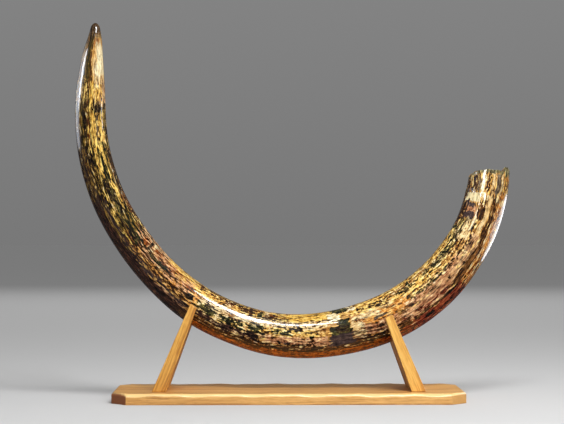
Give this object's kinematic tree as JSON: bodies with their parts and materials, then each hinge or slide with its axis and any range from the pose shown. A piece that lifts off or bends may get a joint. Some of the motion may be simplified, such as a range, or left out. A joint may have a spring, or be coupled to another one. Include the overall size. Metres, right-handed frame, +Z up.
{
  "type": "mammoth tusk on a wooden stand",
  "caption": "Polished fossil mammoth tusk, bowed like a wide C on its back, resting in leaning notched uprights on a low clip-cornered wooden board.",
  "frame": {"origin": "on the surface the stand rests on, at the middle of the whole object's width and depth", "axes": "+Z up, +X along the tusk's spread from its tip at the left to its root at the right, -Y towards the front"},
  "size_m": [1.254, 0.29, 1.0764],
  "materials": {
    "tusk_ivory": "polished",
    "stand_wood": "satin"
  },
  "bodies": {
    "root": {"tusk": "tusk_ivory", "base_board": "stand_wood", "left_support": "stand_wood", "right_support": "stand_wood"}
  },
  "joints": []
}
